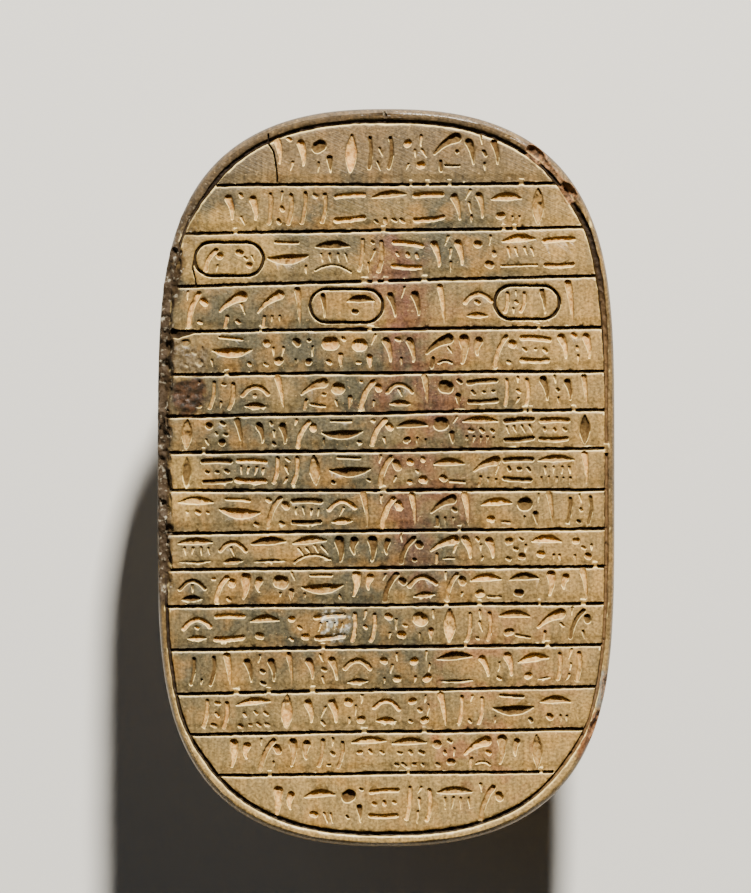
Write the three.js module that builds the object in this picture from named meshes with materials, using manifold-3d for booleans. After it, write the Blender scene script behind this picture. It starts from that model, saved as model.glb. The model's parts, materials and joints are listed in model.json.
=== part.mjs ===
// A large commemorative scarab amulet, carved from one block of steatite.
// It lies on its back: the ruled, inscribed base faces up and the beetle's back faces down,
// on a small flat spot at the crown of the wing cases. Millimetres, +Z up.
// The head points along +Y, and the origin is under the middle, on the surface it lies on.
import * as THREE from "three";
import { LoftGeometry } from "three/addons/geometries/LoftGeometry.js";
import Module from "manifold-3d";

const wasm = await Module();
wasm.setup();

// --- Driving dimensions ---------------------------------------------------------------
const LENGTH = 110;
const WIDTH = 68.2;
const HEIGHT = 39;
const PLINTH = 7; // thickness of the oval base slab
const OVAL_POWER_X = 2.45; // |x/a|^px + |y/b|^py = 1 gives the slab's full-sided oval
const OVAL_POWER_Y = 4.2;

const BORDER_INSET = 1.9; // middle of the border groove, in from the silhouette
const BORDER_WIDTH = 0.95;
const GROOVE_WIDTH = 0.75;
const GROOVE_DEPTH = 0.6;

const FIRST_RULE_Y = 43.7; // uppermost ruled line
const RULE_STEPS = [6.9, 7.5, 7.2, 6.5, 6.0, 5.6, 5.9, 6.1, 5.5, 5.5, 6.3, 6.4, 6.2, 6.2];
const RULE_TILTS = [0.3, 0.9, 1.5, 0.6, 0.5, 0.9, 0.6, 0.1, 0.7, 0.5, 0.5, 0.7, 1.0, 0.8, 0.7];

const MARGIN_W = 15.5; // height of the wing cases' lower edge above the inscribed face
const CROWN_W = HEIGHT + 0.35; // the flat spot takes this little off the dome's crown
const TAIL_Y = -52;
const WAIST_Y = 18; // where the wing cases meet the prothorax
const COLLAR_Y = 40; // front of the prothorax
const SNOUT_Y = 50.5; // front of the head, above the toothed plate
const DRILL_RADIUS = 3;
const DRILL_W = 10.8; // height of the drilled hole's axis above the inscribed face

// --- Helpers ----------------------------------------------------------------------------
// A point given by its height w above the inscribed face, which is the part's top side.
const at = (x, y, w) => new THREE.Vector3(x, y, HEIGHT - w);
const radians = THREE.MathUtils.degToRad;
const signedPower = (value, power) => Math.sign(value) * Math.abs(value) ** power;
const range = (count, make) => Array.from({ length: count }, (_, i) => make(i));

// A closed geometry as a manifold-3d solid.
function solid(geometry) {
  const vertProperties = new Float32Array(geometry.attributes.position.array);
  const count = vertProperties.length / 3;
  const triVerts = new Uint32Array(geometry.index ? geometry.index.array : range(count, (i) => i));
  const mesh = new wasm.Mesh({ numProp: 3, vertProperties, triVerts });
  mesh.merge();
  return new wasm.Manifold(mesh);
}

const loft = (sections) => solid(new LoftGeometry(sections, { capStart: true, capEnd: true }));
const joined = (solids) => solids.reduce((all, one) => all.add(one));
const cutBy = (body, cutters) => cutters.reduce((rest, one) => rest.subtract(one), body);

// What is made on the right side, 1, and again on the left side, -1.
const mirrored = (make) => [1, -1].map((side) => make(side));

// --- The oval base slab -------------------------------------------------------------------
class Oval extends THREE.Curve {
  getPoint(t, target = new THREE.Vector3()) {
    const angle = 2 * Math.PI * t;
    return target.set(
      (WIDTH / 2) * signedPower(Math.cos(angle), 2 / OVAL_POWER_X),
      (LENGTH / 2) * signedPower(Math.sin(angle), 2 / OVAL_POWER_Y),
      0,
    );
  }
}
const OVAL_POINTS = 60;
const oval = new Oval();
oval.arcLengthDivisions = 4000;
const outline = oval.getSpacedPoints(OVAL_POINTS).slice(0, OVAL_POINTS);

// Half the slab's width at y, measured inset from the silhouette.
function halfWidthAt(y, inset = 0) {
  const a = WIDTH / 2 - inset;
  const b = LENGTH / 2 - inset;
  const left = 1 - Math.min(1, Math.abs(y) / b) ** OVAL_POWER_Y;
  return a * left ** (1 / OVAL_POWER_X);
}

// One ring of the slab: the outline moved inwards along its normals, at height w.
function ring(inset, w) {
  return outline.map((point, i) => {
    const next = outline[(i + 1) % OVAL_POINTS];
    const last = outline[(i + OVAL_POINTS - 1) % OVAL_POINTS];
    const along = next.clone().sub(last).normalize();
    return at(point.x - along.y * inset, point.y + along.x * inset, w);
  });
}

function makeSlab() {
  const EDGE = [
    [1.6, PLINTH],
    [0.5, PLINTH - 0.4],
    [0, PLINTH - 1.6],
    [0, 1.3],
    [0.35, 0.45],
    [1.0, 0],
  ];
  return loft(EDGE.map(([inset, w]) => ring(inset, w)));
}

// --- Grooves --------------------------------------------------------------------------------
// A V-shaped groove along points on a surface; outwards(i) is the surface's normal at point i.
function groove(points, outwards, width, depth, closed = false) {
  const CLEAR = 0.5; // how far the cutter stands out of the surface
  const count = points.length;
  const sections = points.map((point, i) => {
    const next = points[closed ? (i + 1) % count : Math.min(i + 1, count - 1)];
    const last = points[closed ? (i + count - 1) % count : Math.max(i - 1, 0)];
    const up = outwards(i);
    const side = up.clone().cross(next.clone().sub(last)).normalize();
    const corner = (aside, rise) => point.clone().addScaledVector(side, aside).addScaledVector(up, rise);
    const flare = (width / 2) * (1 + CLEAR / depth);
    return [corner(flare, CLEAR), corner(-flare, CLEAR), corner(0, -depth)];
  });
  if (!closed) return loft(sections);
  return solid(new LoftGeometry([...sections, sections[0]]));
}

const UP = new THREE.Vector3(0, 0, 1);

const borderGroove = () => groove(ring(BORDER_INSET, 0), () => UP, BORDER_WIDTH, GROOVE_DEPTH, true);

// The ruled lines as {y, slope}, from the top down.
const rules = RULE_TILTS.map((tilt, i) => ({
  y: RULE_STEPS.slice(0, i).reduce((y, step) => y - step, FIRST_RULE_Y),
  slope: Math.tan(radians(tilt)),
}));

function ruleGroove({ y, slope }) {
  const reach = halfWidthAt(Math.abs(y) + 0.4, BORDER_INSET);
  const ends = [-reach, reach].map((x) => at(x, y + x * slope, 0));
  return groove(ends, () => UP, GROOVE_WIDTH, GROOVE_DEPTH);
}

// --- The rows of shallow strokes -------------------------------------------------------------
// Signs of one or two bold gouges that spell nothing. A gouge is [x0, y0, x1, y1, width] round the
// sign's middle.
const SIGNS = [
  { width: 4.2, gouges: [[-1.5, -0.3, 1.6, 1.5, 1.6], [-0.6, -1.0, -0.7, -2.0, 0.8]] }, // blade
  { width: 4.4, gouges: [[-1.9, 1.2, 1.9, 1.3, 1.0], [-1.9, -1.3, 1.8, -1.2, 1.1]] }, // stack
  { width: 4.6, gouges: [[-2.1, 0.9, 2.1, 1.1, 1.3], [-1.0, -1.1, -0.5, -1.1, 1.2]] }, // canopy
  { width: 3.4, gouges: [[-0.9, 0.8, -0.3, 0.8, 2.0], [0.9, -0.5, 1.0, -2.0, 0.9]] }, // seed
  { width: 6.2, gouges: [[-2.8, -0.1, 2.8, 0.1, 1.5], [-1.7, 1.8, 1.4, 1.6, 0.8]] }, // boat
  { width: 2.2, gouges: [[-0.4, 2.0, 0.1, -2.0, 1.1]] }, // stem
  { width: 4.0, gouges: [[-1.0, 1.5, -1.2, -1.5, 1.6], [1.0, 1.2, 0.9, -0.5, 1.3]] }, // drops
  { width: 4.2, gouges: [[-1.3, 1.6, -1.7, -1.7, 1.0], [1.5, 1.6, 1.1, -1.7, 1.0]] }, // rain
  { width: 4.0, gouges: [[-1.7, 0.6, 1.7, 0.7, 1.2], [-1.2, -1.3, 1.2, -1.3, 1.0]] }, // arcs
  { width: 5.2, gouges: [[-2.3, 1.3, 2.3, 1.5, 1.2]] }, // comb
  { width: 2.8, gouges: [[0, 1.9, 0, -1.9, 1.8]] }, // pod
  { width: 3.6, gouges: [[-0.9, 1.1, -0.7, 1.1, 1.2], [0.9, -1.2, 1.1, -1.2, 1.2]] }, // dots
  { width: 3.2, gouges: [[-1.1, -1.9, 0.9, 1.7, 1.0], [0.9, 1.2, 1.5, 0.3, 1.2]] }, // hook
  { width: 5.2, gouges: [[-1.8, 1.2, -1.2, -1.0, 1.2], [1.6, 1.2, 2.1, -1.0, 1.2]] }, // wedges
];
const SIGN_GAP = 0.8;
const ROW_MARGIN = 1.2; // from the border groove to a row's first sign
const END_ROW_HALF = 17; // the first and last rows are filled only in their middle

// Repeatable numbers from 0 to 1.
function numbers(seed) {
  let state = seed;
  return () => {
    state = (state * 16807) % 2147483647;
    return state / 2147483647;
  };
}

// The rows between the ruled lines as {y, slope, half}, where half is half the length to fill.
function makeRows() {
  const end = LENGTH / 2 - BORDER_INSET;
  const edges = [{ y: end, slope: 0 }, ...rules, { y: -end, slope: 0 }];
  return range(edges.length - 1, (i) => {
    const [over, under] = [edges[i], edges[i + 1]];
    const reach = halfWidthAt(Math.max(Math.abs(over.y), Math.abs(under.y)), BORDER_INSET);
    const isEndRow = i === 0 || i === edges.length - 2;
    return {
      y: (over.y + under.y) / 2,
      slope: (over.slope + under.slope) / 2,
      half: isEndRow ? END_ROW_HALF : reach - ROW_MARGIN,
    };
  });
}
const rows = makeRows();

// Long rounded frames that stand in a row and hold signs of their own.
const FRAMES = [
  { row: 2, left: -28.5, right: -18.3 },
  { row: 3, left: -11.3, right: -0.5 },
  { row: 3, left: 16.2, right: 25.8 },
];
const FRAME_HEIGHT = 5;

function frameGroove({ row, left, right }) {
  const STEPS = 16;
  const { y, slope } = rows[row];
  const radius = FRAME_HEIGHT / 2;
  const middle = (left + right) / 2;
  const straight = (right - left) / 2 - radius;
  const path = range(STEPS, (i) => {
    const turn = (2 * Math.PI * (i + 0.5)) / STEPS;
    const x = middle + Math.sign(Math.cos(turn)) * straight + radius * Math.cos(turn);
    return at(x, y + middle * slope + radius * Math.sin(turn), 0);
  });
  return groove(path, () => UP, 0.7, 0.5, true);
}

// The stretches of a row that signs fill, as [left, right], beside and inside its frames.
function stretches(row) {
  const APART = 0.5;
  const INSIDE = 1.1;
  const found = [];
  let from = -rows[row].half;
  for (const { left, right } of FRAMES.filter((frame) => frame.row === row)) {
    found.push([from, left - APART], [left + INSIDE, right - INSIDE]);
    from = right + APART;
  }
  return [...found, [from, rows[row].half]];
}

// Signs picked to fill a stretch from left to right, evenly spaced, as {sign, x}.
function fill(next, [left, right]) {
  const picked = [];
  let room = right - left;
  while (true) {
    const fitting = SIGNS.filter((sign) => sign.width <= room);
    if (fitting.length === 0) break;
    const sign = fitting[Math.floor(next() * fitting.length)];
    picked.push(sign);
    room -= sign.width + SIGN_GAP;
  }
  const gap = SIGN_GAP + (room + SIGN_GAP) / Math.max(1, picked.length - 1);
  let x = left;
  return picked.map((sign) => {
    const place = { sign, x: x + sign.width / 2 };
    x += sign.width + gap;
    return place;
  });
}

// A four-sided pit, pointed at its two ends and deeper where it is wider.
function gouge([x0, y0, x1, y1, width], x, y) {
  const CLEAR = 0.2;
  const depth = 0.3 + 0.25 * width;
  const grown = 1 + CLEAR / depth;
  const cone = new THREE.ConeGeometry(0.5, depth + CLEAR, 4);
  cone.rotateX(-Math.PI / 2);
  cone.scale((Math.hypot(x1 - x0, y1 - y0) + width / 2) * grown, 1.2 * width * grown, 1);
  cone.rotateZ(Math.atan2(y1 - y0, x1 - x0));
  cone.translate(x + (x0 + x1) / 2, y + (y0 + y1) / 2, HEIGHT + CLEAR / 2 - depth / 2);
  return solid(cone);
}

function makeSigns() {
  return rows.flatMap(({ y, slope }, row) => {
    const next = numbers(123457 * (row + 1));
    const places = stretches(row).flatMap((stretch) => fill(next, stretch));
    return places.flatMap(({ sign, x }) => sign.gouges.map((one) => gouge(one, x, y + x * slope)));
  });
}

// --- The beetle --------------------------------------------------------------------------------
const DOME_POWER = 2.25;

// The height of the beetle's back along its middle, before its parts are told apart.
function backHeight(y) {
  const reach = y < 0 ? 53 : 57;
  return MARGIN_W + (CROWN_W - MARGIN_W) * (1 - (Math.abs(y) / reach) ** 2.4) ** (1 / 2.1);
}

// A closed arch across the body: half as wide as half, up to crown, with a rounded lower edge.
function archPoint(y, half, crown, turn) {
  const UNDERSIDE = 1.6;
  const rise = Math.sin(turn) > 0 ? crown - MARGIN_W : UNDERSIDE;
  const x = half * signedPower(Math.cos(turn), 2 / DOME_POWER);
  return at(x, y, MARGIN_W + rise * signedPower(Math.sin(turn), 2 / DOME_POWER));
}

// Wing cases: half width and crown height at y.
function wingCases(y) {
  const WIDEST_Y = -3;
  const HALF = 29.3;
  const back = Math.max(0, (WIDEST_Y - y) / (WIDEST_Y - TAIL_Y));
  const front = Math.max(0, (y - WIDEST_Y) / (WAIST_Y - WIDEST_Y));
  const shoulder = Math.max(0, 1 - (WAIST_Y - y) / 2.5); // rounds the edge at the waist
  const ease = 1 - 0.045 * shoulder ** 2;
  return {
    half: (HALF * Math.sqrt(Math.max(0, 1 - back ** 2.3)) - 1.4 * front ** 2) * ease,
    crown: MARGIN_W + (backHeight(y) - MARGIN_W) * ease,
  };
}

function prothorax(y) {
  const along = (y - WAIST_Y) / (COLLAR_Y - WAIST_Y);
  const waist = Math.max(0, 1 - (y - WAIST_Y) / 2.5);
  const rounding = Math.sqrt(Math.max(0, 1 - Math.max(0, (along - 0.72) / 0.28) ** 2));
  const ease = (1 - 0.05 * waist ** 2) * (0.62 + 0.38 * rounding);
  return {
    half: (27.6 - 5.2 * along ** 2) * ease,
    crown: MARGIN_W + (backHeight(y) - MARGIN_W - 0.7) * ease,
  };
}

function head(y) {
  const along = (y - COLLAR_Y) / (SNOUT_Y - COLLAR_Y);
  const rounding = Math.sqrt(Math.max(0, 1 - Math.max(0, along) ** 2.6));
  return { half: 12.8 - 3 * Math.max(0, along), crown: MARGIN_W + 0.5 + 11 * rounding };
}

const ARCH_POINTS = 24;
function arches(shape, stations) {
  return loft(
    stations.map((y) => {
      const { half, crown } = shape(y);
      return range(ARCH_POINTS, (i) => archPoint(y, half, crown, (2 * Math.PI * i) / ARCH_POINTS));
    }),
  );
}

// Stations from y0 to y1, closer together towards the ends that are rounded.
const eased = (count, y0, y1, ease) => range(count + 1, (i) => y0 + (y1 - y0) * ease(i / count));
const closeAtStart = (t) => 1 - Math.cos((t * Math.PI) / 2);
const closeAtBoth = (t) => (1 - Math.cos(t * Math.PI)) / 2;

// The neck of stone between the slab and the beetle's body, with the leg hollows around it.
function makeCore() {
  const HALF_WIDTH = 23;
  const HALF_LENGTH = 47.5;
  const narrower = (2 * HALF_WIDTH) / WIDTH;
  const shorter = (2 * HALF_LENGTH) / LENGTH;
  const corners = outline.filter((_, i) => i % 2 === 0);
  const section = (w) => corners.map(({ x, y }) => at(x * narrower, y * shorter, w));
  return loft([section(MARGIN_W + 1), section(PLINTH - 1)]);
}

// The head's toothed front plate.
function makeClypeus() {
  const TEETH = 6;
  const REACH = 9.6;
  const TOOTH = 1.5;
  const BASE_Y = 44.5;
  const plate = new THREE.Shape();
  plate.moveTo(REACH, -3);
  for (let i = 0; i <= 4 * TEETH; i++) {
    const angle = (Math.PI * i) / (4 * TEETH);
    const notch = 1 - Math.abs(Math.sin(angle * TEETH)) ** 0.6;
    const reach = REACH - TOOTH * notch;
    plate.lineTo(reach * Math.cos(angle), reach * Math.sin(angle));
  }
  plate.lineTo(-REACH, -3);
  const slab = new THREE.ExtrudeGeometry(plate, { depth: 3.6, bevelEnabled: false });
  slab.rotateX(radians(5));
  slab.translate(0, BASE_Y, HEIGHT - 18.6);
  return solid(slab);
}

const makeEye = (side) => {
  const eye = new THREE.SphereGeometry(3.1, 8, 6);
  eye.scale(1, 1.25, 1);
  const { x, y, z } = at(12.3 * side, 42.8, 19.5);
  return solid(eye.translate(x, y, z));
};

// The legs of the +X side as [x, y, w] from hip to foot.
const LEGS = [
  [[18, 28, 17], [26, 36, 13], [21.5, 45.5, 10.6], [9.6, 50.6, 9.6]],
  [[22, 17, 17], [29.4, 10, 13.2], [30.3, -3, 10.8], [29.6, -15, 9.4]],
  [[20, -12, 17], [28.4, -24, 13.2], [24.6, -40, 10.8], [8.4, -49.8, 9.4]],
];

// A leg is an oval bar that thins towards the foot.
function makeLeg(points, side) {
  const STEPS = 6;
  const SIDES = 6;
  const path = new THREE.CatmullRomCurve3(points.map(([x, y, w]) => at(x * side, y, w)));
  return loft(
    range(STEPS + 1, (step) => {
      const centre = path.getPointAt(step / STEPS);
      const along = path.getTangentAt(step / STEPS);
      const aside = UP.clone().cross(along).normalize();
      const rise = along.clone().cross(aside);
      const thick = 2.9 - (1.0 * step) / STEPS;
      return range(SIDES, (i) => {
        const turn = (2 * Math.PI * (i + 0.5)) / SIDES;
        return centre.clone()
          .addScaledVector(aside, thick * Math.cos(turn))
          .addScaledVector(rise, 1.15 * thick * Math.sin(turn));
      });
    }),
  );
}

// --- Lines carved on the beetle -------------------------------------------------------------------
// A groove over a shape of arches, through points given as [y, turn in degrees round the arch].
function lineOn(shape, route, steps, width = 1.1, depth = 0.6) {
  const plan = new THREE.SplineCurve(route.map(([y, turn]) => new THREE.Vector2(y, radians(turn))));
  const pointAt = (y, turn) => archPoint(y, shape(y).half, shape(y).crown, turn);
  const spots = plan.getPoints(steps);
  const NUDGE = 0.01;
  const normal = (i) => {
    const { x: y, y: turn } = spots[i];
    const alongY = pointAt(y + NUDGE, turn).sub(pointAt(y - NUDGE, turn));
    const around = pointAt(y, turn + NUDGE).sub(pointAt(y, turn - NUDGE));
    return around.cross(alongY).normalize();
  };
  return groove(spots.map(({ x: y, y: turn }) => pointAt(y, turn)), normal, width, depth);
}

function beetleLines() {
  const suture = [87.5, 92.5].map((turn) =>
    lineOn(wingCases, [[WAIST_Y - 0.2, turn], [0, turn], [-25, turn], [TAIL_Y + 2, turn]], 12));
  const edges = mirrored((side) => {
    const turned = (turn) => 90 + side * (90 - turn);
    const border = [[WAIST_Y - 0.2, 24], [0, 21], [-25, 21], [-44, 26], [TAIL_Y + 1.5, 60]];
    const notch = [[WAIST_Y - 0.2, 44], [WAIST_Y - 7.5, 33], [WAIST_Y - 0.2, 24]];
    const collar = [[WAIST_Y + 0.5, 22], [27, 20], [34, 26], [36.5, 50], [37, 88]];
    return [
      lineOn(wingCases, border.map(([y, turn]) => [y, turned(turn)]), 12),
      lineOn(wingCases, notch.map(([y, turn]) => [y, turned(turn)]), 6),
      lineOn(prothorax, collar.map(([y, turn]) => [y, turned(turn)]), 10),
    ];
  }).flat();
  return [...suture, ...edges];
}

// --- Wear and openings -------------------------------------------------------------------------------
function drilledHole() {
  const hole = new THREE.CylinderGeometry(DRILL_RADIUS, DRILL_RADIUS, LENGTH + 10, 16);
  const { z } = at(0, 0, DRILL_W);
  return solid(hole.translate(0, 0, z));
}

// Everything beyond the surface that the scarab lies on.
function belowFlatSpot() {
  const SIZE = 80;
  return solid(new THREE.BoxGeometry(SIZE, SIZE, SIZE).translate(0, 0, -SIZE / 2));
}

// Chips knocked out of the slab's edge: centre [x, y, w], half sizes across, along and down, and turn.
const CHIPS = [
  [-32.4, 29.5, -0.5, 1.6, 6, 1.7, -9],
  [-33.3, 17, -0.5, 1.7, 9, 1.9, -1],
  [-33.5, 2, -0.4, 1.5, 9, 1.7, 0],
  [-33.4, -12, -0.4, 1.3, 6, 1.4, 1],
  [22.4, 48.4, -0.3, 1.3, 1.7, 1.7, 42],
  [27.3, 42.5, -0.3, 1.2, 1.7, 1.6, 34],
  [24.7, 45.2, -0.3, 0.9, 4.5, 1, 40],
  [33.2, -31.5, -0.2, 1.2, 3.2, 1.6, -9],
  [31.6, -37.5, 0.2, 1.3, 3.8, 2.2, -18],
  [-0.2, 54.1, -0.2, 0.5, 0.7, 0.8, 0],
];

function makeChip([x, y, w, across, along, down, turn]) {
  const rock = new THREE.IcosahedronGeometry(1, 0);
  rock.scale(across, along, down);
  rock.rotateZ(radians(turn));
  const place = at(x, y, w);
  return solid(rock.translate(place.x, place.y, place.z));
}

// --- The whole amulet ------------------------------------------------------------------------------------
function makeScarab() {
  const beetle = cutBy(
    joined([
      arches(wingCases, eased(13, TAIL_Y + 0.4, WAIST_Y, closeAtStart)),
      arches(prothorax, eased(7, WAIST_Y - 0.3, COLLAR_Y, closeAtBoth)),
      arches(head, [COLLAR_Y - 4, ...eased(5, COLLAR_Y, SNOUT_Y, (t) => 1 - closeAtStart(1 - t))]),
      makeClypeus(),
      ...mirrored(makeEye),
    ]),
    beetleLines(),
  );
  const legs = mirrored((side) => LEGS.map((points) => makeLeg(points, side))).flat();
  const slab = cutBy(makeSlab(), [
    ...CHIPS.map(makeChip),
    borderGroove(),
    ...rules.map(ruleGroove),
    ...FRAMES.map(frameGroove),
    ...makeSigns(),
  ]);
  return cutBy(joined([beetle, makeCore(), ...legs, slab]), [drilledHole(), belowFlatSpot()]);
}

// A manifold-3d solid as a three.js geometry.
function geometryOf(made) {
  const { numProp, vertProperties, triVerts } = made.getMesh();
  const positions = new Float32Array((vertProperties.length / numProp) * 3);
  for (let i = 0; i < positions.length / 3; i++)
    positions.set(vertProperties.subarray(i * numProp, i * numProp + 3), i * 3);
  const geometry = new THREE.BufferGeometry();
  geometry.setAttribute("position", new THREE.BufferAttribute(positions, 3));
  geometry.setIndex(new THREE.BufferAttribute(triVerts, 1));
  geometry.computeVertexNormals();
  return geometry;
}

const steatite = new THREE.MeshStandardMaterial({ color: "#a08a66", roughness: 0.55, metalness: 0 });
const scarab = new THREE.Mesh(geometryOf(makeScarab()), steatite);
scarab.name = "scarab";

const part = new THREE.Group();
part.add(scarab);

export default part;
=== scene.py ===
"""A large commemorative scarab amulet of worn steatite, lying on its back on a pale floor.

The ruled face with its rows of strokes looks up, and the beetle's back is underneath. The whole
amulet is one mesh: a fine sheet for the carved face and the slab's edge, joined to the beetle's body.
Lengths are in millimetres until a mesh is finished, and w is the depth below the inscribed face.
"""

import json
from itertools import product
from math import ceil, cos, hypot, pi, radians, sin, tan

import bmesh
import bpy
import numpy as np
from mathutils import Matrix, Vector, kdtree

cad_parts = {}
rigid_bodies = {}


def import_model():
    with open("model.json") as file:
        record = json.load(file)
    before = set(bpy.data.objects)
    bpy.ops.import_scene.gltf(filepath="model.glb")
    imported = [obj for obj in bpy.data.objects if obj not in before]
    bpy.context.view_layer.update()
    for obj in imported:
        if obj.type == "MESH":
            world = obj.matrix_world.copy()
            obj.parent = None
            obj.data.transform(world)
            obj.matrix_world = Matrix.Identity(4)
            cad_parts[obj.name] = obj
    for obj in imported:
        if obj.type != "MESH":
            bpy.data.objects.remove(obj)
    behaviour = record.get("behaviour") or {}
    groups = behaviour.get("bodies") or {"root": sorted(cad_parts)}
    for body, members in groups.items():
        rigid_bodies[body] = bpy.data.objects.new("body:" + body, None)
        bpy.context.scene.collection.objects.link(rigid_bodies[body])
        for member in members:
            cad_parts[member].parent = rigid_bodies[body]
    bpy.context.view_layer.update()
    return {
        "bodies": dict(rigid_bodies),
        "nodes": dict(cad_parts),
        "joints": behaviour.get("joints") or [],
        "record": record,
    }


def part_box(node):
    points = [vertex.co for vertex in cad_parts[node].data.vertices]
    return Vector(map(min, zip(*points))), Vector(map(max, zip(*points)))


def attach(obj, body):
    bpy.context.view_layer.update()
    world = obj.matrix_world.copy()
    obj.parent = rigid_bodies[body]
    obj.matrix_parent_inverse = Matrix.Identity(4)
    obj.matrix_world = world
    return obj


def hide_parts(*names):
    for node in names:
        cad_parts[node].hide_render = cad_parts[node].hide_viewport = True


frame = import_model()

MM = 0.001
LOW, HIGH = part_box("scarab")

# --- Sizes, as in the solid ---
WIDTH, LENGTH, HEIGHT = ((b - a) / MM for a, b in zip(LOW, HIGH))
PLINTH = 7
POWER_X = 2.45  # |x/a|^px + |y/b|^py = 1 is the slab's oval
POWER_Y = 4.2
BORDER_INSET = 1.9
FIRST_RULE_Y = 43.7
RULE_STEPS = [6.9, 7.5, 7.2, 6.5, 6.0, 5.6, 5.9, 6.1, 5.5, 5.5, 6.3, 6.4, 6.2, 6.2]
RULE_TILTS = [0.3, 0.9, 1.5, 0.6, 0.5, 0.9, 0.6, 0.1, 0.7, 0.5, 0.5, 0.7, 1.0, 0.8, 0.7]
MARGIN_W = 15.5
CROWN_W = HEIGHT + 0.35
TAIL_Y = -52
WAIST_Y = 18
COLLAR_Y = 40
SNOUT_Y = 50.5
DRILL_RADIUS = 3
DRILL_W = 10.8

RNG = np.random.default_rng(7)


# --- Helpers ---
def at(x, y, w):
    """Points from x, y and the depth w below the inscribed face."""
    x, y, w = np.broadcast_arrays(x, y, w)
    return np.stack([x, y, HEIGHT - w], -1).astype(float)


def unit(vectors):
    return vectors / np.linalg.norm(vectors, axis=-1, keepdims=True)


def signed_power(value, power):
    return np.sign(value) * np.abs(value) ** power


def smooth(low, high, value):
    """0 below low, 1 above high, and an even curve between them."""
    t = np.clip((value - low) / (high - low), 0, 1)
    return t * t * (3 - 2 * t)


def lattice(cell, seed):
    """A repeatable number from -1 to 1 for each whole-number point."""
    mixed = cell[..., 0] * 73856093 ^ cell[..., 1] * 19349663 ^ cell[..., 2] * 83492791 ^ seed * 2654435
    mixed = (mixed ^ (mixed >> 13)) * 1274126177 & 0x7FFFFFFF
    return ((mixed ^ (mixed >> 16)) & 0xFFFF) / 32767.5 - 1


def noise(points, size, seed, octaves=1):
    """Smooth noise from -1 to 1 whose lumps are about size across."""
    total = np.zeros(points.shape[:-1])
    for octave in range(octaves):
        scaled = points / (size / 2**octave)
        cell = np.floor(scaled).astype(np.int64)
        part = scaled - cell
        part = part * part * (3 - 2 * part)
        for corner in product((0, 1), repeat=3):
            weight = np.prod(np.where(corner, part, 1 - part), -1)
            total += weight * lattice(cell + np.array(corner), seed + 31 * octave) / 2**octave
    return total


def mesh_of(points, faces):
    """A mesh from an array of points and a list of faces."""
    mesh = bpy.data.meshes.new("mesh")
    mesh.from_pydata(points.tolist(), [], faces)
    return mesh


def read(items, kind, size=1):
    """An array of what each of a mesh's points or marks holds."""
    flat = np.empty(len(items) * size, np.float32)
    items.foreach_get(kind, flat)
    return flat


def points_of(mesh, kind="co"):
    """The places of a mesh's points, or for kind "normal" their normals."""
    return read(mesh.vertices, kind, 3).reshape(-1, 3).astype(float)


def set_points(mesh, points):
    mesh.vertices.foreach_set("co", points.astype(np.float32).ravel())
    mesh.update()


def store(mesh, name, values):
    mesh.attributes.new(name, "FLOAT", "POINT").data.foreach_set("value", values.astype(np.float32))


def placed(name, data):
    """A new object of the scene, from its mesh, lamp or camera."""
    made = bpy.data.objects.new(name, data)
    bpy.context.scene.collection.objects.link(made)
    return made


def modified(mesh, kind, **settings):
    """The mesh as one modifier leaves it."""
    holder = placed("holder", mesh)
    modifier = holder.modifiers.new(kind, kind)
    for key, value in settings.items():
        setattr(modifier, key, value)
    made = bpy.data.meshes.new_from_object(holder.evaluated_get(bpy.context.evaluated_depsgraph_get()))
    bpy.data.objects.remove(holder)
    bpy.data.meshes.remove(mesh)
    return made


def reworked(meshes, change):
    """One new mesh of several, after change has worked on them as one bmesh."""
    bm = bmesh.new()
    for mesh in meshes:
        bm.from_mesh(mesh)
    change(bm)
    made = bpy.data.meshes.new("mesh")
    bm.to_mesh(made)
    bm.free()
    return made


def face_outwards(bm):
    bmesh.ops.recalc_face_normals(bm, faces=bm.faces)


def thinned(mesh, triangles):
    """The mesh in about that many triangles, most of them where it bends most."""
    mesh.calc_loop_triangles()
    return modified(mesh, "DECIMATE", ratio=triangles / len(mesh.loop_triangles))


def evenly(points, count, endpoint=True):
    """The points of a dense line, spaced evenly along it again."""
    run = np.cumsum([0, *np.linalg.norm(np.diff(points, axis=0), axis=1)])
    stops = np.linspace(0, run[-1], count, endpoint=endpoint)
    return np.stack([np.interp(stops, run, column) for column in points.T], 1)


# --- The slab's oval ---
def outline(count):
    """Evenly spaced points on the oval, from +X through +Y, and their outward normals."""
    fine = 20001  # the formula's own points are unevenly spaced
    turn = np.linspace(0, 2 * np.pi, fine)
    x = WIDTH / 2 * signed_power(np.cos(turn), 2 / POWER_X)
    y = LENGTH / 2 * signed_power(np.sin(turn), 2 / POWER_Y)
    points = evenly(np.stack([x, y], 1), count, endpoint=False)
    along = np.roll(points, -1, 0) - np.roll(points, 1, 0)
    return points, unit(np.stack([along[:, 1], -along[:, 0]], 1))


def half_width_at(y, inset=0):
    """Half the slab's width at y, inset from its edge."""
    left = 1 - min(1, abs(y) / (LENGTH / 2 - inset)) ** POWER_Y
    return (WIDTH / 2 - inset) * left ** (1 / POWER_X)


def inset_of(x, y):
    """Roughly how far x, y is inside the oval's edge, for places near that edge."""
    u, v = np.abs(x) / (WIDTH / 2), np.abs(y) / (LENGTH / 2)
    slope_x = POWER_X * u ** (POWER_X - 1) / (WIDTH / 2)
    slope_y = POWER_Y * v ** (POWER_Y - 1) / (LENGTH / 2)
    return (1 - u**POWER_X - v**POWER_Y) / np.maximum(np.hypot(slope_x, slope_y), 1e-3)


def border_inset(y):
    """How far inside the edge the border groove runs: closer along the sides than at the ends."""
    closer = 0.65
    return BORDER_INSET - closer * smooth(45, 36, np.abs(y))


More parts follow.
